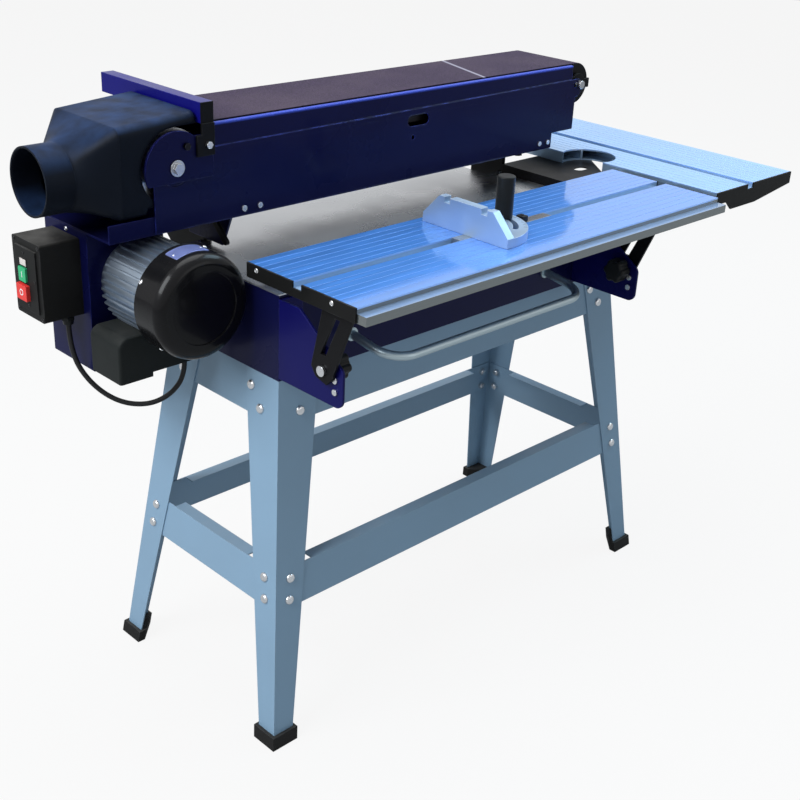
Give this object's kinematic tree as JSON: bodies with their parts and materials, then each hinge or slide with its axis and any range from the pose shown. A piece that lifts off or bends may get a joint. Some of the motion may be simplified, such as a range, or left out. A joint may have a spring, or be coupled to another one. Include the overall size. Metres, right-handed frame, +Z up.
{
  "type": "belt sanding machine",
  "caption": "Floor-standing belt sander with a tilting belt unit, hanging motor, dust port, tilting slotted table with mitre gauge and notched end table.",
  "frame": {"origin": "on the floor below the middle of the whole machine's box", "axes": "+X along the belt towards the end table, +Y to the back of the machine, +Z up"},
  "size_m": [1.373, 0.621, 0.985],
  "materials": {
    "stand_grey": "satin powder coat",
    "machine_blue": "gloss enamel",
    "tray_pale": "satin enamel",
    "black_steel": "satin black enamel",
    "black_plastic": "moulded, fine grain",
    "table_aluminium": "extruded, anodised",
    "cast_aluminium": "die cast",
    "zinc": "bright zinc",
    "steel": "turned",
    "rubber": "moulded",
    "abrasive": "cloth belt with abrasive grit",
    "green_plastic": "gloss",
    "red_plastic": "gloss"
  },
  "bodies": {
    "base": {"leg_front_left": "stand_grey", "leg_front_right": "stand_grey", "leg_back_left": "stand_grey", "leg_back_right": "stand_grey", "rubber_feet": "rubber", "stand_rails": "stand_grey", "stand_fasteners": "zinc", "base_panels": "machine_blue", "top_tray": "tray_pale", "handle_bar": "steel", "table_brackets": "machine_blue", "hinge_posts": "black_steel", "tilt_pins": "steel", "base_fasteners": "zinc", "end_table": "table_aluminium", "end_table_caps": "black_plastic", "end_table_support": "black_steel"},
    "tilting_table": {"front_table": "table_aluminium", "front_table_caps": "black_plastic", "table_arms": "black_steel", "table_cap_screws": "zinc"},
    "knob_left": {"table_lock_knob_left": "black_plastic"},
    "knob_right": {"table_lock_knob_right": "black_plastic"},
    "mitre_slider": {"mitre_bar": "steel"},
    "mitre_protractor": {"mitre_head": "cast_aluminium"},
    "mitre_lock": {"mitre_handle": "black_plastic"},
    "belt_unit": {"back_plate": "machine_blue", "lower_frame": "machine_blue", "front_cover": "machine_blue", "drum_end_plate": "machine_blue", "platen": "steel", "stop_fence": "machine_blue", "fence_lug": "black_steel", "dust_hood": "black_plastic", "drum_bearings": "steel", "sanding_belt": "abrasive", "motor_bracket": "machine_blue", "motor_housing": "cast_aluminium", "motor_fan_cover": "black_steel", "terminal_box": "black_plastic", "drive_belt": "rubber", "drive_guard": "black_steel", "switch_box": "black_plastic", "motor_cable": "rubber", "cable_glands": "black_plastic", "unit_fasteners": "zinc"},
    "drum": {"drive_drum": "steel", "drive_shaft": "steel", "drum_pulley": "steel"},
    "rotor": {"motor_rotor": "steel", "motor_pulley": "steel"},
    "fork": {"idler_fork": "black_steel", "idler_axle": "steel"},
    "idler": {"idler_drum": "black_steel", "idler_bearings": "steel"},
    "start": {"start_button": "green_plastic"},
    "stop": {"stop_button": "red_plastic"},
    "tilt_lock": {"tilt_lock_lever": "black_steel"},
    "tensioner": {"tension_lever": "black_steel"}
  },
  "joints": [
    {"name": "unit_tilt", "type": "hinge", "parent": "base", "child": "belt_unit", "pos_m": [-0.041, 0.118, 0.8245], "axis": [1, 0, 0], "range_deg": [0, 90]},
    {"name": "table_tilt", "type": "hinge", "parent": "base", "child": "tilting_table", "pos_m": [-0.041, -0.2175, 0.661], "axis": [1, 0, 0], "range_deg": [0, 45]},
    {"name": "knob_left_turn", "type": "hinge", "parent": "base", "child": "knob_left", "pos_m": [-0.428, -0.2175, 0.661], "axis": [1, 0, 0], "range_deg": [0, 330]},
    {"name": "knob_right_turn", "type": "hinge", "parent": "base", "child": "knob_right", "pos_m": [0.233, -0.2175, 0.661], "axis": [-1, 0, 0], "range_deg": [0, 330]},
    {"name": "mitre_slide", "type": "slide", "parent": "tilting_table", "child": "mitre_slider", "axis": [1, 0, 0], "range_m": [-0.3, 0.32]},
    {"name": "mitre_turn", "type": "hinge", "parent": "mitre_slider", "child": "mitre_protractor", "pos_m": [-0.093, -0.1725, 0.78], "axis": [0, 0, 1], "range_deg": [-60, 60]},
    {"name": "mitre_lock_turn", "type": "hinge", "parent": "mitre_slider", "child": "mitre_lock", "pos_m": [-0.035, -0.1725, 0.8], "axis": [0, 0, 1], "range_deg": [0, 330]},
    {"name": "drum_spin", "type": "hinge", "parent": "belt_unit", "child": "drum", "pos_m": [-0.499, 0.1425, 0.8965], "axis": [0, 1, 0], "continuous": true},
    {"name": "motor_spin", "type": "hinge", "parent": "belt_unit", "child": "rotor", "pos_m": [-0.534, 0.1425, 0.7228], "axis": [0, 1, 0], "continuous": true},
    {"name": "tension_turn", "type": "hinge", "parent": "belt_unit", "child": "tensioner", "pos_m": [0.259, 0.2355, 0.9], "axis": [0, 1, 0], "range_deg": [0, 75]},
    {"name": "idler_slide", "type": "slide", "parent": "belt_unit", "child": "fork", "axis": [1, 0, 0], "range_m": [-0.012, 0]},
    {"name": "idler_spin", "type": "hinge", "parent": "fork", "child": "idler", "pos_m": [0.432, 0.1425, 0.9145], "axis": [0, 1, 0], "continuous": true},
    {"name": "start_press", "type": "slide", "parent": "belt_unit", "child": "start", "axis": [1, 0, 0], "range_m": [0, 0.0025], "stiffness_N_per_m": 900},
    {"name": "stop_press", "type": "slide", "parent": "belt_unit", "child": "stop", "axis": [1, 0, 0], "range_m": [0, 0.004], "stiffness_N_per_m": 900},
    {"name": "tilt_lock_turn", "type": "hinge", "parent": "belt_unit", "child": "tilt_lock", "pos_m": [-0.386, 0.118, 0.7905], "axis": [1, 0, 0], "range_deg": [-35, 0]}
  ],
  "couplings": [
    {"joint": "motor_spin", "follows": "drum_spin", "ratio": 1},
    {"joint": "idler_spin", "follows": "drum_spin", "ratio": 1.4826},
    {"joint": "tension_turn", "follows": "idler_slide", "rad_per_m": -109.08}
  ]
}
